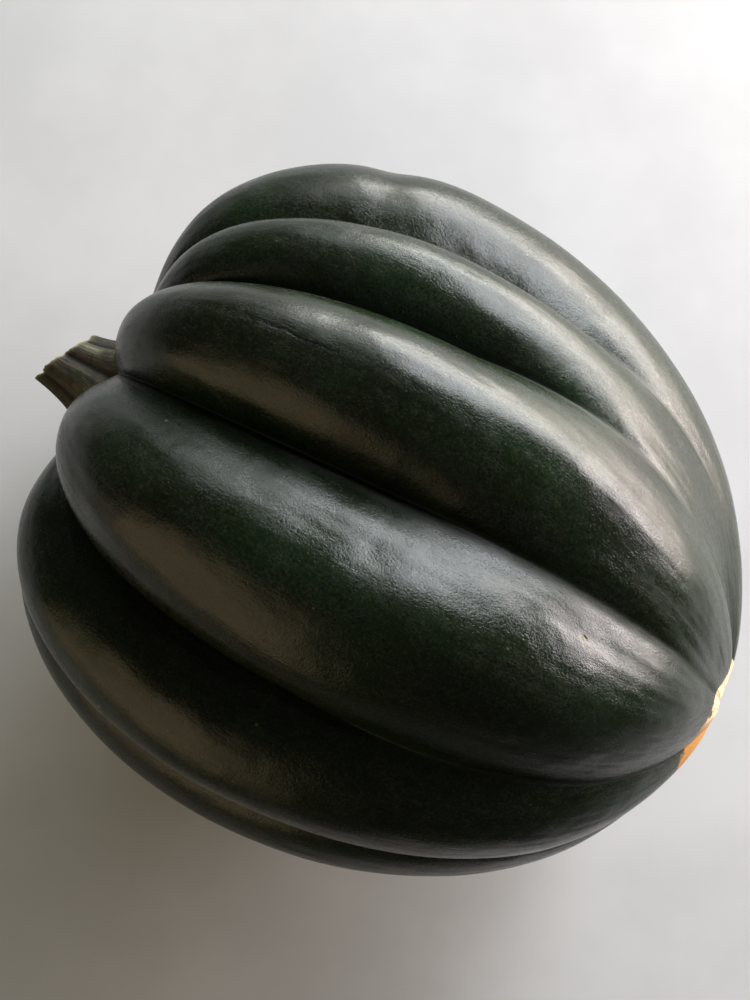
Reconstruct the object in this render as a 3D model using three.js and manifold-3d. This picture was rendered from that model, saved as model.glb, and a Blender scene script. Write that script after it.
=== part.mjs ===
// An acorn squash lying on its side: one ribbed fruit and its dried, ridged stem.
//
// Millimetres, +Z up. +X runs from the stem end to the blossom end. The fruit rests
// on two flat spots at Z = 0, and the origin is under the middle of the whole squash.

import * as THREE from 'three';
import { mergeVertices } from 'three/addons/utils/BufferGeometryUtils.js';
import Module from 'manifold-3d';

// ---- Driving dimensions -----------------------------------------------------

// The smooth body that the ribs stand on, a blunt-ended egg round the fruit's axis.
const FRUIT_LENGTH = 120.4;
const FRUIT_RADIUS = 56.4;
const END_BLUNTNESS = 0.78; // under 1 makes the shoulders fuller than an ellipse's
const STEM_END_FULLNESS = 0.076; // the stem half is this share wider, the other narrower
const CAVITY_DEPTH = 9.4; // how far the stem end sinks in below its shoulders
const CAVITY_RADIUS = 25;
const NOSE_LENGTH = 1.5; // how far the blossom tip stands out
const NOSE_RADIUS = 20;
const NOSE_OFFSET = 4; // the blossom tip has grown this far towards the +Y side
const LEAN = 0.015; // the -Y side reaches further to the blossom end by this slope

// Grooves, in degrees about the axis: 0 is on top and 90 is on the -Y side.
const GROOVE_ANGLES = [-100, -63.3, -39, -3.5, 41.7, 77, 106.8, 142, 180, 218];
// How far the crest of the rib after each groove stands out, as a share of the radius.
const RIB_SWELL = [0.015, -0.058, -0.007, 0.02, 0.024, 0.012, 0, 0.01, 0.01, -0.005];
const GROOVE_DEPTH = 0.17; // as a share of the radius
const GROOVE_FADE = 0.97; // how quickly the grooves die away towards the two ends
const GROOVE_STEM_BIAS = 0.33; // deeper at the stem end, shallower at the blossom end
const GROOVE_SOFTNESS = 0.2; // rounds the bottom of each groove
const RIB_ROUNDNESS = 0.675; // under 1 makes the ribs plump between narrow grooves
const RIB_TWIST = 4.4; // degrees that each groove turns between the middle and an end

// The stem, a short ridged stub that widens into a foot where it joins the fruit.
const STEM_RIDGES = 8;
const STEM_RIDGE_DEPTH = 0.17; // as a share of the stem's radius
const STEM_RIDGE_TURN = 18; // degrees from the top to the first ridge
const STEM_ROOT_RADIUS = 7;
const STEM_FOOT_RADIUS = 12;
const STEM_NECK_RADIUS = 5;
const STEM_FLARE = 2.1; // how quickly the foot narrows towards the neck
const STEM_ROOT_X = -46; // the end that is sunk in the fruit
const STEM_FOOT_X = -51;
const STEM_CUT_X = -62.5; // middle of the cut end
const STEM_CUT_SLOPE = 0.47; // the cut slants outwards towards the -Y side
const STEM_OFFSET = 1.4; // the stem sits this far to the -Y side of the axis
const SOCKET_GAP = 0.3;

// How it lies: the blossom end, which is narrower, dips to the ground.
const PITCH = 2.2; // degrees
const REST_FLAT_DEPTH = 0.8; // how much of the lowest ribs is pressed flat

// Mesh density.
const FRUIT_ROWS = 36;
const STEPS_PER_RIB = 11;
const STEM_ROWS = 9;
const STEPS_PER_RIDGE = 5;
const WELD_DISTANCE = 1e-3;

const RIBS = GROOVE_ANGLES.length;
const FULL_TURN = 2 * Math.PI;

const wasm = await Module();
wasm.setup();

// ---- Solids -----------------------------------------------------------------

// A closed three.js geometry as a manifold solid: seams welded, empty triangles dropped.
function toSolid(geometry) {
  const bare = geometry.clone();
  bare.deleteAttribute('normal');
  bare.deleteAttribute('uv');
  const welded = mergeVertices(bare, WELD_DISTANCE);
  const corners = welded.index.array;
  const triVerts = [];
  for (let i = 0; i < corners.length; i += 3) {
    const [a, b, c] = [corners[i], corners[i + 1], corners[i + 2]];
    if (a !== b && b !== c && c !== a) triVerts.push(a, b, c);
  }
  return new wasm.Manifold(new wasm.Mesh({
    numProp: 3,
    vertProperties: new Float32Array(welded.attributes.position.array),
    triVerts: new Uint32Array(triVerts),
  }));
}

function toGeometry(solid) {
  const mesh = solid.getMesh();
  const geometry = new THREE.BufferGeometry();
  geometry.setAttribute('position', new THREE.BufferAttribute(mesh.vertProperties, mesh.numProp));
  geometry.setIndex(new THREE.BufferAttribute(mesh.triVerts, 1));
  geometry.computeVertexNormals();
  return geometry;
}

// Revolves a profile about the fruit's axis and moves each vertex by move(vertex, row, step).
// The profile's points are (radius, x). On the lathe, Z is up, +X is the -Y side and
// Y is the axis, so the last turn lays the axis along +X.
function shapedLathe(profile, steps, move) {
  const geometry = new THREE.LatheGeometry(profile, steps);
  const position = geometry.attributes.position;
  const vertex = new THREE.Vector3();
  for (let i = 0; i < position.count; i += 1) {
    const row = i % profile.length;
    const step = Math.floor(i / profile.length) % steps;
    vertex.fromBufferAttribute(position, i);
    move(vertex, row, step);
    position.setXYZ(i, vertex.x, vertex.y, vertex.z);
  }
  return geometry.rotateZ(-Math.PI / 2);
}

// ---- Fruit ------------------------------------------------------------------

// How much a point at this radius, in the blossom half, belongs to the blossom tip.
function noseShare(radius) {
  return Math.exp(-((radius / NOSE_RADIUS) ** 2));
}

// The smooth body's outline at an angle along it: 0 is the stem end, PI the blossom tip.
function envelopePoint(along) {
  const towardsStem = Math.cos(along);
  const radius = FRUIT_RADIUS * Math.sin(along) ** END_BLUNTNESS
    * (1 + STEM_END_FULLNESS * towardsStem);
  const hollow = CAVITY_DEPTH * Math.exp(-((radius / CAVITY_RADIUS) ** 2));
  const nose = NOSE_LENGTH * noseShare(radius);
  const ends = towardsStem > 0 ? hollow : nose;
  return new THREE.Vector2(radius, -FRUIT_LENGTH / 2 * towardsStem + ends);
}

// 0 at the bottom of a groove and 1 on the crest of a rib, for across from 0 to 1.
function ribProfile(across) {
  const soften = (height) => Math.hypot(height, GROOVE_SOFTNESS) - GROOVE_SOFTNESS;
  return (soften(Math.sin(Math.PI * across)) / soften(1)) ** RIB_ROUNDNESS;
}

// Moves a vertex of the smooth body out to its rib or in to its groove. Both scale the
// vertex about the fruit's centre, so the ribs also bulge past the stem's cavity. Then
// the lean and the sideways blossom tip make the fruit a little lopsided, as it grew.
function raiseRib(vertex, row, step) {
  const along = Math.PI * row / FRUIT_ROWS;
  const rib = Math.floor(step / STEPS_PER_RIB);
  const across = (step % STEPS_PER_RIB) / STEPS_PER_RIB;
  const start = GROOVE_ANGLES[rib];
  const end = rib + 1 < RIBS ? GROOVE_ANGLES[rib + 1] : GROOVE_ANGLES[0] + 360;
  const degrees = start + across * (end - start) + RIB_TWIST * Math.cos(along);
  const angle = THREE.MathUtils.degToRad(degrees);

  const girth = Math.sin(along);
  const rise = ribProfile(across);
  const depth = GROOVE_DEPTH * girth ** GROOVE_FADE * (1 + GROOVE_STEM_BIAS * Math.cos(along));
  const swell = RIB_SWELL[rib] * rise * Math.sqrt(girth);
  const scale = (1 - depth * (1 - rise)) * (1 + swell);

  const smoothRadius = Math.hypot(vertex.x, vertex.z);
  const radius = smoothRadius * scale;
  const side = radius * Math.sin(angle);
  const drift = Math.cos(along) < 0 ? NOSE_OFFSET * noseShare(smoothRadius) : 0;
  vertex.set(side - drift, vertex.y * scale + LEAN * side, radius * Math.cos(angle));
}

function fruitBlank() {
  const profile = [];
  for (let row = 0; row <= FRUIT_ROWS; row += 1) {
    const point = envelopePoint(Math.PI * row / FRUIT_ROWS);
    if (row === 0 || row === FRUIT_ROWS) point.x = 0;
    profile.push(point);
  }
  return toSolid(shapedLathe(profile, RIBS * STEPS_PER_RIB, raiseRib));
}

// ---- Stem -------------------------------------------------------------------

// The stem's solid, or with a gap the plug that cuts its socket in the fruit.
function stemSolid(gap) {
  const rootX = STEM_ROOT_X + gap;
  const outline = [new THREE.Vector2(0, STEM_CUT_X)];
  for (let row = STEM_ROWS; row >= 0; row -= 1) {
    const reach = row / STEM_ROWS;
    const flare = (STEM_FOOT_RADIUS - STEM_NECK_RADIUS) * Math.exp(-STEM_FLARE * reach);
    const x = THREE.MathUtils.lerp(STEM_FOOT_X, STEM_CUT_X, reach);
    outline.push(new THREE.Vector2(STEM_NECK_RADIUS + flare, x));
  }
  outline.push(new THREE.Vector2(STEM_ROOT_RADIUS, rootX), new THREE.Vector2(0, rootX));
  const steps = STEM_RIDGES * STEPS_PER_RIDGE;
  return toSolid(shapedLathe(outline, steps, (vertex, row, step) => {
    const ridge = Math.abs(Math.cos(Math.PI * step / STEPS_PER_RIDGE));
    const base = Math.hypot(vertex.x, vertex.z);
    const ridged = base * (1 - STEM_RIDGE_DEPTH * (1 - ridge));
    const radius = base > 0 ? ridged + gap : 0;
    const angle = FULL_TURN * step / steps + THREE.MathUtils.degToRad(STEM_RIDGE_TURN);
    vertex.x = radius * Math.sin(angle);
    vertex.z = radius * Math.cos(angle);
    // The slant grows from nothing at the foot to the full slope at the cut.
    const reach = Math.max(0, (STEM_FOOT_X - vertex.y) / (STEM_FOOT_X - STEM_CUT_X));
    vertex.y -= STEM_CUT_SLOPE * reach * vertex.x;
    vertex.x += STEM_OFFSET;
  }));
}

// ---- The squash as it lies --------------------------------------------------

const pitched = [0, PITCH, 0];
const blank = fruitBlank().subtract(stemSolid(SOCKET_GAP)).rotate(pitched);
const stem = stemSolid(0).rotate(pitched);

// Everything below the rest plane is cut off, which leaves a flat spot on each low rib.
const restZ = blank.boundingBox().min[2] + REST_FLAT_DEPTH;
const ground = new THREE.BoxGeometry(2 * FRUIT_LENGTH, 2 * FRUIT_LENGTH, FRUIT_LENGTH);
ground.translate(0, 0, restZ - FRUIT_LENGTH / 2);
const fruit = blank.subtract(toSolid(ground));

const fruitMesh = new THREE.Mesh(
  toGeometry(fruit),
  new THREE.MeshStandardMaterial({ color: 0x1f2a1c, roughness: 0.38, metalness: 0 }),
);
fruitMesh.name = 'fruit';

const stemMesh = new THREE.Mesh(
  toGeometry(stem),
  new THREE.MeshStandardMaterial({ color: 0x6b6448, roughness: 0.85, metalness: 0 }),
);
stemMesh.name = 'stem';

const squash = new THREE.Group();
squash.add(fruitMesh, stemMesh);

const box = new THREE.Box3().setFromObject(squash);
const middle = box.getCenter(new THREE.Vector3());
squash.position.set(-middle.x, -middle.y, -box.min.z);

export default squash;
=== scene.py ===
import math

import bpy
from mathutils import Matrix, Vector


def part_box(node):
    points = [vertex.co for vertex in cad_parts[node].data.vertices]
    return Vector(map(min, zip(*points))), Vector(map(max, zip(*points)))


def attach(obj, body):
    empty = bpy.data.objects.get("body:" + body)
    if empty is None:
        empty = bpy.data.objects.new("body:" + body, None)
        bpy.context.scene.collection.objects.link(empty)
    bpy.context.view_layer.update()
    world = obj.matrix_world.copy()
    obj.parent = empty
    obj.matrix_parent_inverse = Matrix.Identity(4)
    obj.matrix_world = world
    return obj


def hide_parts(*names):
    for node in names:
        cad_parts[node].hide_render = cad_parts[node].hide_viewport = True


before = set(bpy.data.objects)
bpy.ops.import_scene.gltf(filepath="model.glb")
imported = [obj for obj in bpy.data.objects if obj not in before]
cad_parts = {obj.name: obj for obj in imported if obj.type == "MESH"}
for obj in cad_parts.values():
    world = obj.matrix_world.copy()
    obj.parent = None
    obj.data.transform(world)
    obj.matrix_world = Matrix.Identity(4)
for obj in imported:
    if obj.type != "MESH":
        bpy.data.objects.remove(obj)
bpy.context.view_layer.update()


# ---- Fruit ------------------------------------------------------------------
# The whole ripe squash: a blunt body with ten plump ribs of uneven width, hollow
# where the stem sits and drawn out to a blunt tip where the flower was. It is one
# grown thing, so the ribs lean and swell a little differently from each other.

MM = 0.001
HALF_TURN = math.pi
# Grooves, in degrees about the axis: 0 is on top and 90 is on the -Y side. The last is
# the first again.
GROOVE_ANGLES = [-100, -63.3, -39, -3.5, 41.7, 77, 106.8, 142, 180, 218, 260]
# How far the crest of the rib after each groove stands out, as a share of the radius.
RIB_SWELL = [0.015, -0.058, -0.007, 0.02, 0.024, 0.012, 0, 0.01, 0.01, -0.005]
RIBS = len(RIB_SWELL)
# How full each rib's two flanks are, its first groove's flank and then its second's: a
# number under 1 is plump, with narrow grooves, and one over 1 is sloping.
USUAL_FLANK = 0.675
FIRST_FLANK = [0.72, 0.85, 0.93, 1.05] + [USUAL_FLANK] * (RIBS - 4)
SECOND_FLANK = [USUAL_FLANK, 0.66, 0.62, 0.64] + [USUAL_FLANK] * (RIBS - 4)
STEPS_PER_RIB = 48
FRUIT_ROWS = 196
# Knocks and swellings in the rind: mm along it from the stem, degrees round it, mm that
# it reaches along and round, and mm that it stands out.
SWELLINGS = [
    (62, -73, 4, 16, -0.6),
    (73, -74, 7, 12, 0.35),
    (67, -22, 5, 9, -0.25),
    (78, -21, 6, 9, 0.4),
    (79, 8, 4, 12, -0.3),
    (104, 27, 20, 4, 0.35),
    (151, 2, 12, 16, 1.8),
    (146, -26, 14, 12, 1.2),
    (112, -23, 24, 3, 0.5),
    (90, 32, 18, 8, 1.1),
    (116, 15, 24, 11, 1.8),
]


def feed(tree, socket, value):
    """Links a value that the tree works out to a socket, or sets a plain one on it."""
    if isinstance(value, Rule):
        tree.links.new(value.socket, socket)
    elif isinstance(value, bpy.types.NodeSocket):
        tree.links.new(value, socket)
    else:
        socket.default_value = value


class Rule:
    """A number worked out by a node tree, so that a rule reads like its formula."""

    def __init__(self, tree, socket):
        self.tree = tree
        self.socket = socket

    def work(self, operation, *others):
        node = self.tree.nodes.new("ShaderNodeMath")
        node.operation = operation
        for socket, value in zip(node.inputs, (self, *others)):
            feed(self.tree, socket, value)
        return Rule(self.tree, node.outputs[0])

    def __add__(self, other):
        return self.work("ADD", other)

    def __sub__(self, other):
        return self.work("SUBTRACT", other)

    def __mul__(self, other):
        return self.work("MULTIPLY", other)

    def __truediv__(self, other):
        return self.work("DIVIDE", other)

    def __pow__(self, other):
        return self.work("POWER", other)

    def __rsub__(self, other):
        return (self * -1) + other

    __radd__ = __add__
    __rmul__ = __mul__

    def sin(self):
        return self.work("SINE")

    def cos(self):
        return self.work("COSINE")

    def exp(self):
        return self.work("EXPONENT")

    def root(self):
        return self.work("SQRT")

    def floor(self):
        return self.work("FLOOR")

    def at_least(self, lowest):
        return self.work("MAXIMUM", lowest)

    def at_most(self, highest):
        return self.work("MINIMUM", highest)

    def under(self, limit):
        return self.work("LESS_THAN", limit)

    def bell(self, width):
        """1 in the middle, falling away to nothing beyond this width."""
        return ((self / width) ** 2 * -1).exp()

    def ramp(self, low, high):
        """0 below low and 1 above high, with soft ends; low may be the larger."""
        node = self.tree.nodes.new("ShaderNodeMapRange")
        node.interpolation_type = "SMOOTHSTEP"
        feed(self.tree, node.inputs["Value"], self)
        feed(self.tree, node.inputs["From Min"], low)
        feed(self.tree, node.inputs["From Max"], high)
        return Rule(self.tree, node.outputs["Result"])


def add_node(tree, kind, outlet=0, settings=None, **inputs):
    """Adds a node with its settings and its inputs, and returns the outlet asked for."""
    node = tree.nodes.new(kind)
    for name, value in (settings or {}).items():
        setattr(node, name, value)
    for name, value in inputs.items():
        feed(tree, node.inputs[name.replace("_", " ")], value)
    return node.outputs[outlet]


def point_of(tree, x, y, z):
    return add_node(tree, "ShaderNodeCombineXYZ", X=x, Y=y, Z=z)


def parts_of(tree, vector):
    """The x, y and z of a place, or the three parts of a colour."""
    node = tree.nodes.new("ShaderNodeSeparateXYZ")
    tree.links.new(vector, node.inputs[0])
    return [Rule(tree, outlet) for outlet in node.outputs]


def pick(tree, index, values):
    """The value at this place in a short list."""
    node = tree.nodes.new("GeometryNodeIndexSwitch")
    node.data_type = "FLOAT"
    while len(node.index_switch_items) < len(values):
        node.index_switch_items.new()
    feed(tree, node.inputs[0], index)
    for socket, value in zip(node.inputs[1:], values):
        socket.default_value = value
    return Rule(tree, node.outputs[0])


def tipped(tree, forward, sideways, up, pitch):
    """A place along, across and above the fruit's axis, once the axis has pitched."""
    return point_of(tree, forward * pitch.cos() + up * pitch.sin(), sideways,
                    up * pitch.cos() - forward * pitch.sin())


def corners_of(tree, geometry):
    """The lowest and the highest x, y and z of a shape."""
    node = tree.nodes.new("GeometryNodeBoundBox")
    tree.links.new(geometry, node.inputs[0])
    return parts_of(tree, node.outputs["Min"]), parts_of(tree, node.outputs["Max"])


def keep_value(tree, geometry, name, value, kind="FLOAT"):
    """Writes a value on every vertex, for the finish to read."""
    settings = {"data_type": kind, "domain": "POINT"}
    return add_node(tree, "GeometryNodeStoreNamedAttribute", settings=settings,
                    Geometry=geometry, Name=name, Value=value)


class Former:
    """A geometry node tree with named inputs that forms one piece."""

    def __init__(self, name):
        self.tree = bpy.data.node_groups.new(name, "GeometryNodeTree")
        self.tree.interface.new_socket("Geometry", in_out="OUTPUT", socket_type="NodeSocketGeometry")
        self.source = self.tree.nodes.new("NodeGroupInput")
        self.values = {}

    def size(self, name, value, kind="NodeSocketFloat"):
        item = self.tree.interface.new_socket(name, in_out="INPUT", socket_type=kind)
        self.values[item.identifier] = value
        return Rule(self.tree, self.source.outputs[name])

    def lattice(self, columns, rows):
        """A flat grid to be bent into shape, with each vertex's column and row."""
        grid = add_node(self.tree, "GeometryNodeMeshGrid", Vertices_X=columns, Vertices_Y=rows)
        index = Rule(self.tree, self.tree.nodes.new("GeometryNodeInputIndex").outputs[0])
        column = ((index + 0.5) / rows).floor()
        return grid, column, index - column * rows

    def finish(self, piece_name, geometry, finish):
        """Gives the geometry its finish and returns it as a plain mesh object."""
        skin = self.size("Finish", finish, "NodeSocketMaterial")
        real = add_node(self.tree, "GeometryNodeRealizeInstances", Geometry=geometry)
        dressed = add_node(self.tree, "GeometryNodeSetMaterial", Geometry=real, Material=skin)
        sink = self.tree.nodes.new("NodeGroupOutput")
        self.tree.links.new(dressed, sink.inputs[0])

        maker = bpy.data.objects.new(piece_name + "_maker", bpy.data.meshes.new("empty"))
        bpy.context.scene.collection.objects.link(maker)
        modifier = maker.modifiers.new("form", "NODES")
        modifier.node_group = self.tree
        for identifier, value in self.values.items():
            modifier[identifier] = value
        depsgraph = bpy.context.evaluated_depsgraph_get()
        mesh = bpy.data.meshes.new_from_object(maker.evaluated_get(depsgraph),
                                               preserve_all_data_layers=True, depsgraph=depsgraph)
        bpy.data.objects.remove(maker)
        mesh.name = piece_name
        piece = bpy.data.objects.new(piece_name, mesh)
        bpy.context.scene.collection.objects.link(piece)
        return piece


def new_finish(name):
    """A new material, its node tree and its shader."""
    material = bpy.data.materials.new(name)
    material.use_nodes = True
    shader = material.node_tree.nodes["Principled BSDF"]
    return material, material.node_tree, shader


def noise(tree, place, scale, detail=2.0, roughness=0.5, distortion=0.0):
    """Soft random clouds, about 0.5 in the middle; the scale is in clouds to a metre."""
    socket = add_node(tree, "ShaderNodeTexNoise", Vector=place, Scale=scale,
                      Detail=detail, Roughness=roughness, Distortion=distortion)
    return Rule(tree, socket)


def stretch(tree, place, x, y, z):
    """Scales a place so that a pattern on it is drawn out along one way."""
    return add_node(tree, "ShaderNodeMapping", Vector=place, Scale=(x, y, z))


def mix_colours(tree, share, first, second):
    """The first colour where the share is 0 and the second where it is 1."""
    node = tree.nodes.new("ShaderNodeMix")
    node.data_type = "RGBA"
    feed(tree, node.inputs[0], share)
    first_socket, second_socket = node.inputs[6:8]
    for socket, colour in ((first_socket, first), (second_socket, second)):
        if isinstance(colour, tuple):
            colour = (*colour, 1)
        feed(tree, socket, colour)
    return node.outputs[2]


def bump(tree, height, depth, under=None):
    """A normal from a height between 0 and 1 that stands for this depth in metres."""
    node = tree.nodes.new("ShaderNodeBump")
    node.inputs["Strength"].default_value = 1
    feed(tree, node.inputs["Distance"], depth)
    feed(tree, node.inputs["Height"], height)
    if under is not None:
        feed(tree, node.inputs["Normal"], under)
    return node.outputs[0]


def attribute(tree, name, outlet="Fac"):
    """A value that the form has written on every vertex."""
    node = tree.nodes.new("ShaderNodeAttribute")
    node.attribute_name = name
    return node.outputs[outlet]


# The waxy rind, almost black green, with lighter and darker streaks, mottling and grain.
DEEP_GREEN = (0.0050, 0.0070, 0.0026)
LEAF_GREEN = (0.0060, 0.0130, 0.0046)
STREAK_GREEN = (0.010, 0.017, 0.007)
MOTTLE_GREEN = (0.013, 0.022, 0.008)
DARK_GRAIN = (0.0012, 0.0016, 0.0006)
LIGHT_GRAIN = (0.019, 0.028, 0.013)
WAX_GREY = (0.030, 0.032, 0.032)
rind, tree, shader = new_finish("waxy_rind")
place = add_node(tree, "ShaderNodeTexCoord", "Object")
along_rind = attribute(tree, "rind", "Vector")
rise_here = Rule(tree, attribute(tree, "rise"))
clouds = noise(tree, place, 45, 3, 0.6)
streaks = noise(tree, stretch(tree, along_rind, 25, 160, 160), 1, 4, 0.6)
mottle = noise(tree, place, 650, 3, 0.65)
bloom = noise(tree, stretch(tree, along_rind, 60, 95, 95), 1, 4, 0.62)
grain = noise(tree, place, 1900, 2, 0.6)
green = mix_colours(tree, clouds.ramp(0.35, 0.68), DEEP_GREEN, LEAF_GREEN)
green = mix_colours(tree, streaks.ramp(0.5, 0.78) * 0.5, green, STREAK_GREEN)
green = mix_colours(tree, mottle.ramp(0.5, 0.72) * 0.55, green, MOTTLE_GREEN)
green = mix_colours(tree, grain.ramp(0.46, 0.30) * 0.75, green, DARK_GRAIN)
green = mix_colours(tree, grain.ramp(0.56, 0.74) * 0.7, green, LIGHT_GRAIN)

# A thin film of wax in fine strokes, thicker in cloudy patches.
strokes = noise(tree, stretch(tree, along_rind, 1900, 2900, 2900), 1, 2, 0.6, distortion=0.9)
patches = noise(tree, stretch(tree, along_rind, 150, 260, 260), 1, 3, 0.6)
wax = strokes.ramp(0.44, 0.66) * patches.ramp(0.36, 0.64)
green = mix_colours(tree, wax * 0.3, green, WAX_GREY)


def flecks(tree, place, cells, size, luck):
    """Round specks, one to a cell at most: cells to a metre, their size, and who gets one."""
    cell_node = tree.nodes.new("ShaderNodeTexVoronoi")
    cell_node.inputs["Scale"].default_value = cells
    tree.links.new(place, cell_node.inputs["Vector"])
    cell_reach = Rule(tree, cell_node.outputs["Distance"])
    cell_luck = parts_of(tree, cell_node.outputs["Color"])[0]
    return cell_reach.ramp(*size) * cell_luck.ramp(*luck)


# Pale flecks, a few large and many fine.
LARGE_FLECK = (0.20, 0.21, 0.13)
FINE_FLECK = (0.10, 0.11, 0.07)
large_flecks = flecks(tree, place, 95, (0.045, 0.02), (0.55, 0.6))
fine_flecks = flecks(tree, place, 340, (0.07, 0.03), (0.6, 0.9))
green = mix_colours(tree, large_flecks * 0.8, green, LARGE_FLECK)
green = mix_colours(tree, fine_flecks * 0.6, green, FINE_FLECK)

# A healed crease beside one crest and a small healed pit, along and across the rind.
CREASE_START = 52 * MM
CREASE_END = 74 * MM
CREASE_FADE = 6 * MM
CREASE_BEGINS_AT = (56 * MM, -17.5 * MM)
CREASE_SLOPE = 0.024
CREASE_WIDTH = 0.3 * MM
PIT_AT = (124.8 * MM, 2.3 * MM)
PIT_LENGTH = 0.5 * MM
PIT_WIDTH = 0.4 * MM
CREASE_PAINTED_SHADE = (0.001, 0.001, 0.001)
PIT_OCHRE = (0.09, 0.08, 0.02)
rind_x, rind_y, rind_z = parts_of(tree, along_rind)
on_top = rind_z.ramp(0, 10 * MM)
wander = (noise(tree, place, 260, 2) - 0.5) * (1.6 * MM)
crease_line = (rind_x - CREASE_BEGINS_AT[0]) * CREASE_SLOPE
crease = (rind_y - CREASE_BEGINS_AT[1] - crease_line + wander).bell(CREASE_WIDTH)
crease = crease * rind_x.ramp(CREASE_START, CREASE_START + CREASE_FADE) * on_top
crease = crease * rind_x.ramp(CREASE_END, CREASE_END - CREASE_FADE)
pit = (rind_x - PIT_AT[0]).bell(PIT_LENGTH) * (rind_y - PIT_AT[1]).bell(PIT_WIDTH) * on_top
# Painted shade: the crease is darkened to near black, for the shade inside the crack.
green = mix_colours(tree, crease * 0.8, green, CREASE_PAINTED_SHADE)
green = mix_colours(tree, pit.ramp(0.15, 0.6) * 0.7, green, PIT_OCHRE)

# The bare patch round the blossom tip, where the rind has no green: orange on the -Y
# side and cream on the +Y side, with a corky scar at the tip and a corky mark above it.
PATCH_Y = -0.9 * MM
PATCH_Z = 54.7 * MM
PATCH_RADIUS = 10.7 * MM
PATCH_EDGE = 0.8 * MM
PATCH_RAGGEDNESS = 6 * MM
SCAR_RADIUS = 2.8 * MM
SCAR_EDGE = 0.6 * MM
MARK_Y = 0.6 * MM
MARK_Z = 10.2 * MM
MARK_WIDTH = 0.9 * MM
MARK_HEIGHT = 1.4 * MM
RIPE_ORANGE = (0.44, 0.19, 0.025)
PALE_CREAM = (0.74, 0.56, 0.34)
CREAM_MOTTLE = (0.40, 0.24, 0.08)
CREAM_STREAK = (0.30, 0.17, 0.05)
CORK_BROWN = (0.10, 0.055, 0.02)
place_x, place_y, place_z = parts_of(tree, place)
patch_y = place_y - PATCH_Y
patch_z = place_z - PATCH_Z
patch_reach = (patch_y * patch_y + patch_z * patch_z).root()
ragged = noise(tree, place, 170, 4, 0.65) - 0.5
bare = (patch_reach - ragged * PATCH_RAGGEDNESS).ramp(PATCH_RADIUS + PATCH_EDGE, PATCH_RADIUS)
bare = bare * place_x.ramp(0, 10 * MM)
ripe = patch_y + patch_z * 0.1 + ragged * (8 * MM)
cream = mix_colours(tree, ripe.ramp(-2 * MM, 3 * MM), RIPE_ORANGE, PALE_CREAM)
cream = mix_colours(tree, mottle.ramp(0.45, 0.7) * 0.45, cream, CREAM_MOTTLE)
cream = mix_colours(tree, streaks.ramp(0.5, 0.7) * 0.35, cream, CREAM_STREAK)
mark = (patch_y - MARK_Y).bell(MARK_WIDTH) * (patch_z - MARK_Z).bell(MARK_HEIGHT)
tip_reach = Rule(tree, attribute(tree, "tip_reach"))
cork = tip_reach.ramp(SCAR_RADIUS + SCAR_EDGE, SCAR_RADIUS).at_least(mark.ramp(0.4, 0.7))
cream = mix_colours(tree, cork, cream, CORK_BROWN)
tree.links.new(mix_colours(tree, bare, green, cream), shader.inputs["Base Color"])

# The gloss: duller where the bloom lies, in the grooves, on the wax and on the bare patch.
WAX_IOR = 1.38
gloss = noise(tree, place, 700, 3, 0.6)
dull = bloom.ramp(0.35, 0.7) * 0.12 + rise_here.ramp(0.12, 0.0) * 0.30 + bare * 0.25
shine = 0.15 + gloss.ramp(0.3, 0.75) * 0.05 + wax * 0.12 + dull
tree.links.new(shine.socket, shader.inputs["Roughness"])
shader.inputs["IOR"].default_value = WAX_IOR

# The fine relief: long waves and ripples, dimples, wrinkles on the crests, and pores.
pores = noise(tree, place, 3400, 1, 0.5)
dimples = noise(tree, place, 420, 2, 0.5)
waves = noise(tree, stretch(tree, along_rind, 80, 100, 100), 1, 2, 0.5)
ripples = noise(tree, stretch(tree, along_rind, 20, 140, 140), 1, 2, 0.5)
wrinkles = noise(tree, stretch(tree, along_rind, 150, 2000, 2000), 1, 2, 0.6)
wrinkled = noise(tree, place, 60, 2).ramp(0.5, 0.66) * rise_here.ramp(0.5, 0.9)
relief = bump(tree, waves, 0.6 * MM)
relief = bump(tree, ripples, 0.5 * MM, relief)
relief = bump(tree, dimples, 0.03 * MM, relief)
relief = bump(tree, wrinkles * wrinkled, 0.07 * MM, relief)
relief = bump(tree, crease * -0.25 - pit, 0.12 * MM, relief)
relief = bump(tree, strokes * 0.7 + pores * 0.3, 0.072 * MM, relief)
tree.links.new(relief, shader.inputs["Normal"])

# The form. Its sizes are the inputs of the node tree. The blossom end dips by the pitch.
PITCH = math.radians(2.2)
former = Former("fruit_form")
tree = former.tree
length = former.size("Length", 120.4 * MM)
girth_radius = former.size("Radius", 56.4 * MM)
bluntness = former.size("End Bluntness", 0.78)
fullness = former.size("Stem End Fullness", 0.076)
hollow_depth = former.size("Cavity Depth", 9.4 * MM)
hollow_radius = former.size("Cavity Radius", 25 * MM)
nose_length = former.size("Nose Length", 3.8 * MM)
nose_radius = former.size("Nose Radius", 20 * MM)
nose_offset = former.size("Nose Offset", 2.5 * MM)
lean = former.size("Lean", 0.015)
blossom_lean = former.size("More Lean at the Blossom End", 0.034)
groove_depth = former.size("Groove Depth", 0.17)
groove_fade = former.size("Groove Fade", 0.97)
groove_bias = former.size("Groove Stem Bias", 0.33)
blossom_fade = former.size("Groove Fade at the Blossom End", 0.75)
softness = former.size("Groove Softness", 0.13)
seam_depth = former.size("Seam Depth", 0.8 * MM)
seam_width = former.size("Seam Width", 0.05)
crowding = former.size("Groove Crowding", 0.6)
twist = former.size("Rib Twist", math.radians(4.4))
pitch = former.size("Pitch", PITCH)
flat_depth = former.size("Rest Flat Depth", 0.8 * MM)
dent_depth = former.size("Dent Depth", 0.45 * MM)
solid_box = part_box("fruit")
middle_x = former.size("Middle X", (solid_box[0].x + solid_box[1].x) / 2)
middle_y = former.size("Middle Y", (solid_box[0].y + solid_box[1].y) / 2)

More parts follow.
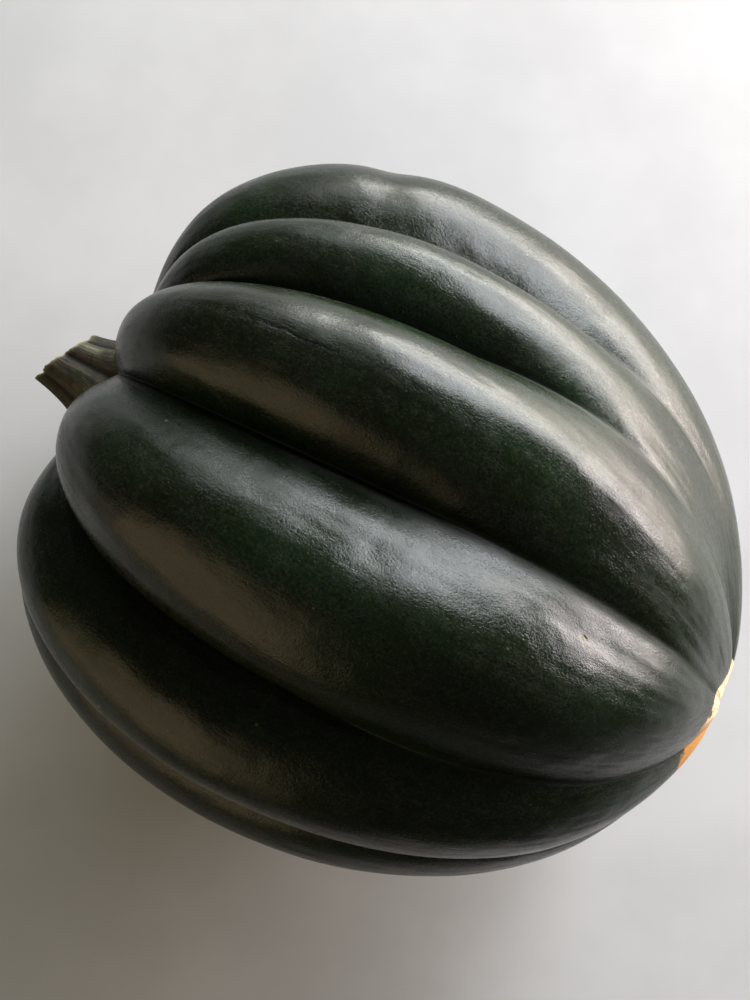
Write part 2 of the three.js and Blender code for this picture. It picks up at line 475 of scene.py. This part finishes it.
# The smooth body that the ribs stand on, from the stem end (0) to the tip (a half turn).
grid, column, row = former.lattice(RIBS * STEPS_PER_RIB + 1, FRUIT_ROWS + 1)
along = row * (HALF_TURN / FRUIT_ROWS)
to_stem = along.cos()
girth = along.sin().at_least(0)
in_blossom_half = to_stem.under(0)
to_blossom = (to_stem * -1).at_least(0)
smooth_radius = girth_radius * girth ** bluntness * (fullness * to_stem + 1)
hollow = hollow_depth * smooth_radius.bell(hollow_radius) * (1 - in_blossom_half)
nose = smooth_radius.bell(nose_radius) * in_blossom_half
smooth_x = length * to_stem * -0.5 + hollow + nose_length * nose

# Which rib a vertex is on, how far across it, and how high it stands there. The hair's
# breadth keeps a whole number from falling just short of itself.
HAIR = 0.001
rib = (column / STEPS_PER_RIB + HAIR).floor().at_most(RIBS - 1)
step = column / STEPS_PER_RIB - rib
across = step - (step * (2 * HALF_TURN)).sin() * crowding / (2 * HALF_TURN)
start = pick(tree, rib, [math.radians(angle) for angle in GROOVE_ANGLES[:-1]])
end = pick(tree, rib, [math.radians(angle) for angle in GROOVE_ANGLES[1:]])
around = start + across * (end - start) + twist * to_stem


def soften(height):
    """The height with the sharp bottom of its groove rounded off."""
    return (height * height + softness * softness).root() - softness


on_first = across.under(0.5)
roundness = pick(tree, rib, FIRST_FLANK) * on_first + pick(tree, rib, SECOND_FLANK) * (1 - on_first)
crown = (1 + softness * softness).root() - softness
rise = (soften((across * HALF_TURN).sin()) / crown).at_least(0) ** roundness
swell = pick(tree, rib, RIB_SWELL) * rise * girth.root()
seam = (across * HALF_TURN).sin().bell(seam_width) * seam_depth / girth_radius
seam = seam * girth * to_stem.ramp(-0.5, 0.1)
depth = groove_depth * girth ** groove_fade * (groove_bias * to_stem + 1)
depth = depth * (1 - blossom_fade * to_blossom)
scale = (1 - depth * (1 - rise)) * (swell + 1) - seam

# Knocks and swellings. Those before this angle, in degrees, are beside the first groove
# and die away in it, so that the rind closes there.
BESIDE_FIRST_GROOVE = -60
for mm_along, degrees, reach_along, reach_around, height in SWELLINGS:
    lengthways = (along * girth_radius - mm_along * MM).bell(reach_along * MM)
    crossways = ((around - math.radians(degrees)) * girth_radius).bell(reach_around * MM)
    lift = lengthways * crossways * girth.root() * (height * MM) / girth_radius
    if degrees < BESIDE_FIRST_GROOVE:
        lift = lift * rise
    scale = scale + lift

# The vertex in its place on the fruit's axis, which then pitches and settles.
side = smooth_radius * scale * around.sin()
up = smooth_radius * scale * around.cos()
forward = smooth_x * scale + side * (lean + blossom_lean * to_blossom)
sideways = side * -1 + nose_offset * nose
shaped = add_node(tree, "GeometryNodeSetPosition", Geometry=grid,
                  Position=tipped(tree, forward, sideways, up, pitch))
shaped = keep_value(tree, shaped, "rind", point_of(tree, along * girth_radius,
                    girth_radius * around.sin(), girth_radius * around.cos()), "FLOAT_VECTOR")
shaped = keep_value(tree, shaped, "tip_reach", smooth_radius + (1 - in_blossom_half))
shaped = keep_value(tree, shaped, "rise", rise)
WELD_DISTANCE = 0.001 * MM
closed = add_node(tree, "GeometryNodeMergeByDistance", Geometry=shaped, Distance=WELD_DISTANCE)

# Shallow dents and swellings, long along the ribs, as the fruit grew.
DENTS_PER_METRE = (22, 40, 40)
here = tree.nodes.new("GeometryNodeInputPosition").outputs[0]
facing = tree.nodes.new("GeometryNodeInputNormal").outputs[0]
long_way = add_node(tree, "ShaderNodeVectorMath", settings={"operation": "MULTIPLY"})
tree.links.new(here, long_way.node.inputs[0])
long_way.node.inputs[1].default_value = DENTS_PER_METRE
lumps = noise(tree, long_way, 1, 2, 0.45) - 0.5
push = add_node(tree, "ShaderNodeVectorMath", settings={"operation": "SCALE"},
                Scale=lumps * dent_depth * 2)
tree.links.new(facing, push.node.inputs[0])

# The fruit settles to the height and place of its solid, and is pressed flat on the floor.
low, high = corners_of(tree, closed)
settle = point_of(tree, middle_x - (low[0] + high[0]) * 0.5, middle_y - (low[1] + high[1]) * 0.5,
                  (low[2] + flat_depth) * -1)
dented = add_node(tree, "GeometryNodeSetPosition", Geometry=closed, Offset=push)
settled = add_node(tree, "GeometryNodeSetPosition", Geometry=dented, Offset=settle)
x, y, z = parts_of(tree, here)
pressed = add_node(tree, "GeometryNodeSetPosition", Geometry=settled,
                   Position=point_of(tree, x, y, z.at_least(0)))
smooth = add_node(tree, "GeometryNodeSetShadeSmooth", Geometry=pressed)
fruit = former.finish("fruit_skin", smooth, rind)
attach(fruit, "root")
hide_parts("fruit")


# ---- Stem -------------------------------------------------------------------
# The dried stub of the vine, woody and eight-ridged. It grew from the fruit and
# widens into it in a foot, and was cut off aslant, which shows its pith.

STEM_RIDGES = 8
STEPS_PER_RIDGE = 16
FOOT_ROWS = 6
SIDE_ROWS = 26
CUT_ROWS = 12

# The bark: brown fibres with olive blotches, pale crests, grooves darkened to black with painted
# shade, and a pale cut.
FIBRE_SHADE = (0.016, 0.012, 0.006)
FIBRE_BROWN = (0.054, 0.038, 0.027)
OLIVE_BLOTCH = (0.028, 0.030, 0.009)
DARK_BLOTCH = (0.008, 0.007, 0.003)
PALE_CREST = (0.20, 0.20, 0.12)
STEM_GROOVE_PAINTED_SHADE = (0.004, 0.003, 0.001)
PITH_SHADE = (0.18, 0.14, 0.06)
PITH_PALE = (0.42, 0.39, 0.20)
BARK_ROUGHNESS = 0.78
BARK_IOR = 1.45
bark, tree, shader = new_finish("dried_stem")
place = add_node(tree, "ShaderNodeTexCoord", "Object")
grain_place = attribute(tree, "grain", "Vector")
ridge = Rule(tree, attribute(tree, "ridge"))
cut = Rule(tree, attribute(tree, "cut"))
fibres = noise(tree, stretch(tree, grain_place, 120, 1100, 1100), 1, 4, 0.65)
blotches = noise(tree, place, 230, 3, 0.6)
stains = noise(tree, place, 480, 3)
worn = noise(tree, place, 140, 2)
pith = noise(tree, place, 900, 4, 0.7)
brown = mix_colours(tree, fibres.ramp(0.3, 0.7), FIBRE_SHADE, FIBRE_BROWN)
brown = mix_colours(tree, blotches.ramp(0.42, 0.6) * 0.8, brown, OLIVE_BLOTCH)
brown = mix_colours(tree, stains.ramp(0.5, 0.36) * 0.7, brown, DARK_BLOTCH)
crest = ridge.ramp(0.86, 0.99) * fibres.ramp(0.3, 0.6) * worn.ramp(0.45, 0.6)
brown = mix_colours(tree, crest * 0.8, brown, PALE_CREST)
# Painted shade: the grooves between the ridges are darkened to near black.
brown = mix_colours(tree, ridge.ramp(0.5, 0.05) * 0.92, brown, STEM_GROOVE_PAINTED_SHADE)
cut_colour = mix_colours(tree, pith.ramp(0.3, 0.7), PITH_SHADE, PITH_PALE)
brown = mix_colours(tree, cut, brown, cut_colour)
tree.links.new(brown, shader.inputs["Base Color"])
shader.inputs["Roughness"].default_value = BARK_ROUGHNESS
shader.inputs["IOR"].default_value = BARK_IOR
relief = bump(tree, fibres, 0.35 * MM)
relief = bump(tree, pith, 0.12 * MM, relief)
tree.links.new(relief, shader.inputs["Normal"])

# The form: a sunk root, the ridged side, and the cut end drawn in to its middle.
former = Former("stem_form")
tree = former.tree
foot_radius = former.size("Foot Radius", 12 * MM)
neck_radius = former.size("Neck Radius", 5 * MM)
flare = former.size("Flare", 2.1)
ridge_depth = former.size("Ridge Depth", 0.17)
ridge_turn = former.size("Ridge Turn", math.radians(18))
root_x = former.size("Root X", -46 * MM)
foot_x = former.size("Foot X", -51 * MM)
cut_x = former.size("Cut X", -62.5 * MM)
cut_slope = former.size("Cut Slope", 0.47)
stem_offset = former.size("Offset", 1.4 * MM)
unevenness = former.size("Ridge Unevenness", 0.22)
uneven_turn = former.size("Ridge Unevenness Turn", 0.9)
torn_edge = former.size("Torn Edge", 2.4 * MM)
cut_hollow = former.size("Cut Hollow", 2.4 * MM)
stem_pitch = former.size("Pitch", PITCH)
stem_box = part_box("stem")
stem_low_x = former.size("Lowest X", stem_box[0].x)
stem_low_y = former.size("Lowest Y", stem_box[0].y)
stem_low_z = former.size("Lowest Z", stem_box[0].z)

rows = FOOT_ROWS + SIDE_ROWS + CUT_ROWS
grid, column, row = former.lattice(STEM_RIDGES * STEPS_PER_RIDGE + 1, rows + 1)
rooted = (row / FOOT_ROWS).at_most(1)
reach = ((row - FOOT_ROWS) / SIDE_ROWS).at_least(0).at_most(1)
inward = ((row - (FOOT_ROWS + SIDE_ROWS)) / CUT_ROWS).at_least(0)
outline = neck_radius + (foot_radius - neck_radius) * (flare * reach * -1).exp()
outline = outline * rooted ** 0.5 * (1 - inward)
even_turn = column * (2 * math.pi / (STEM_RIDGES * STEPS_PER_RIDGE))
turn = even_turn + unevenness * (even_turn + uneven_turn).sin()
turn = turn + unevenness * 0.4 * (even_turn * 3).sin()
ridge_rise = (column * (math.pi / STEPS_PER_RIDGE)).cos().work("ABSOLUTE")
radius = outline * (1 - ridge_depth * (1 - ridge_rise))
side = radius * (turn + ridge_turn).sin()
up = radius * (turn + ridge_turn).cos()
forward = root_x + (foot_x - root_x) * rooted + (cut_x - foot_x) * reach
forward = forward - cut_slope * reach * side
RIM_TEARS = 2.5
rim_place = point_of(tree, turn.cos() * RIM_TEARS, turn.sin() * RIM_TEARS, 0)
torn = (noise(tree, rim_place, 1, 3, 0.6) - 0.5) * torn_edge
forward = forward + torn * reach ** 4 * (1 - inward)
forward = forward + (inward * (1 - inward)) * cut_hollow
sideways = (side + stem_offset) * -1
shaped = add_node(tree, "GeometryNodeSetPosition", Geometry=grid,
                  Position=tipped(tree, forward, sideways, up, stem_pitch))
shaped = keep_value(tree, shaped, "grain", point_of(tree, forward, neck_radius * turn.sin(),
                    neck_radius * turn.cos()), "FLOAT_VECTOR")
shaped = keep_value(tree, shaped, "ridge", ridge_rise)
shaped = keep_value(tree, shaped, "cut", inward.ramp(0.0, 0.12).at_least(reach.ramp(0.95, 1.0) * 0.7))
closed = add_node(tree, "GeometryNodeMergeByDistance", Geometry=shaped, Distance=WELD_DISTANCE)
low, _ = corners_of(tree, closed)
settle = point_of(tree, stem_low_x - low[0], stem_low_y - low[1], stem_low_z - low[2])
settled = add_node(tree, "GeometryNodeSetPosition", Geometry=closed, Offset=settle)
outward = add_node(tree, "GeometryNodeFlipFaces", Mesh=settled)
smooth = add_node(tree, "GeometryNodeSetShadeSmooth", Geometry=outward)
stem = former.finish("stem_stub", smooth, bark)
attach(stem, "root")
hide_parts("stem")


# ---- Floor and light --------------------------------------------------------
# A pale plaster floor, darkened towards the viewer's side by painted shade, in a dim room. A large
# soft window stands low on one side, with a thin curtain beside it, a weak warm card opposite, and a
# small card close by.

FLOOR_HALF = 6.0
VIEW_AZIMUTH = math.radians(29.57)
PLASTER_SHADE = (0.495, 0.50, 0.51)
PLASTER_PALE = (0.545, 0.55, 0.56)
PAINTED_SHADE_GREY = (0.08, 0.08, 0.08)
PLASTER_ROUGHNESS = 0.8
PAINTED_SHADE_FROM = 108 * MM
PAINTED_SHADE_AT = 180 * MM
floor_mesh = bpy.data.meshes.new("floor")
floor_mesh.from_pydata([(-FLOOR_HALF, -FLOOR_HALF, 0), (FLOOR_HALF, -FLOOR_HALF, 0),
                        (FLOOR_HALF, FLOOR_HALF, 0), (-FLOOR_HALF, FLOOR_HALF, 0)], [], [(0, 1, 2, 3)])
floor = bpy.data.objects.new("floor", floor_mesh)
bpy.context.scene.collection.objects.link(floor)
plaster, tree, shader = new_finish("pale_plaster")
place = add_node(tree, "ShaderNodeTexCoord", "Object")
cloud = noise(tree, place, 22, 4, 0.6)
pale = mix_colours(tree, cloud.ramp(0.35, 0.65), PLASTER_SHADE, PLASTER_PALE)
# Towards the viewer's side it is darkened with painted shade, so that the rind's lower edge mirrors
# little light.
place_x, place_y, _ = parts_of(tree, place)
nearness = place_x * math.sin(VIEW_AZIMUTH) - place_y * math.cos(VIEW_AZIMUTH)
# Painted shade: the floor fades to near black beyond this reach towards the viewer.
painted_shade = nearness.ramp(PAINTED_SHADE_FROM, PAINTED_SHADE_AT)
tree.links.new(mix_colours(tree, painted_shade, pale, PAINTED_SHADE_GREY), shader.inputs["Base Color"])
shader.inputs["Roughness"].default_value = PLASTER_ROUGHNESS
floor_mesh.materials.append(plaster)

WINDOW_DISTANCE = 0.7


def panel_light(name, azimuth, width, bottom, top, brightness, colour, distance=WINDOW_DISTANCE):
    """An upright glowing panel that faces the squash; azimuth is from +X towards +Y."""
    lamp = bpy.data.lights.new(name, "AREA")
    lamp.shape = "RECTANGLE"
    lamp.size = width
    lamp.size_y = top - bottom
    lamp.energy = brightness * math.pi * width * (top - bottom)
    lamp.color = colour
    holder = bpy.data.objects.new(name, lamp)
    bpy.context.scene.collection.objects.link(holder)
    turn = math.radians(azimuth)
    outward = Vector((math.cos(turn), math.sin(turn), 0))
    holder.location = outward * distance + Vector((0, 0, (bottom + top) / 2))
    holder.rotation_euler = outward.to_track_quat("Z", "Y").to_euler()
    holder.visible_camera = False


# Azimuth in degrees; width, bottom and top in metres; brightness; colour.
panel_light("window_low_right", 44.6, 0.375, 0.0, 0.123, 26, (1.0, 0.90, 0.84))
panel_light("window_low_left", 87.0, 0.73, 0.0, 0.123, 22, (1.0, 0.97, 0.90))
panel_light("window_right", 44.6, 0.375, 0.123, 0.29, 15, (0.96, 0.90, 0.97))
panel_light("window_left", 85.0, 0.56, 0.123, 0.404, 13, (0.93, 0.96, 1.0))
panel_light("window_top", 80.6, 0.27, 0.404, 0.80, 16, (0.92, 0.95, 1.0))
panel_light("curtain", 117.0, 0.44, 0.12, 0.50, 3.2, (0.95, 1.0, 1.0))
panel_light("warm_card", 246.0, 0.75, 0.0, 0.85, 1.25, (1.0, 0.78, 0.45))
panel_light("side_card", 60.0, 0.20, 0.0, 0.11, 4.6, (1.0, 0.84, 0.73), distance=0.21)

ROOM_COLOUR = (0.055, 0.058, 0.048)
room = bpy.data.worlds.new("room")
bpy.context.scene.world = room
room.use_nodes = True
room.node_tree.nodes["Background"].inputs["Color"].default_value = (*ROOM_COLOUR, 1)
bpy.context.scene.view_settings.view_transform = "Standard"


# ---- Camera -----------------------------------------------------------------
# It looks almost straight down on the squash, with the stem end to the left.

# The frame is this many pixels high, and the lens's focal length is in pixels too.
FRAME_HEIGHT = 1000
FOCAL_LENGTH = 2899
SENSOR_WIDTH = 36
VIEW_ELEVATION = math.radians(85.8)
VIEW_DISTANCE = 493.6 * MM
FRUIT_MIDDLE = Vector((1.613, 0.130, 53.815)) * MM
# How far above and to the left of the fruit's middle the camera aims, in pixels.
AIM_UP = 33.9
AIM_LEFT = 12.5
backward = Vector((math.sin(VIEW_AZIMUTH) * math.cos(VIEW_ELEVATION),
                   -math.cos(VIEW_AZIMUTH) * math.cos(VIEW_ELEVATION),
                   math.sin(VIEW_ELEVATION)))
rightward = Vector((math.cos(VIEW_AZIMUTH), math.sin(VIEW_AZIMUTH), 0))
upward = backward.cross(rightward)
eye = FRUIT_MIDDLE + backward * VIEW_DISTANCE
aim = FRUIT_MIDDLE + (upward * AIM_UP - rightward * AIM_LEFT) * (VIEW_DISTANCE / FOCAL_LENGTH)
backward = (eye - aim).normalized()
rightward = upward.cross(backward).normalized()
upward = backward.cross(rightward)
lens = bpy.data.cameras.new("camera")
lens.sensor_width = SENSOR_WIDTH
lens.lens = FOCAL_LENGTH * SENSOR_WIDTH / FRAME_HEIGHT
camera = bpy.data.objects.new("camera", lens)
turn = Matrix((rightward, upward, backward)).transposed()
camera.matrix_world = Matrix.Translation(eye) @ turn.to_4x4()
bpy.context.scene.collection.objects.link(camera)
bpy.context.scene.camera = camera
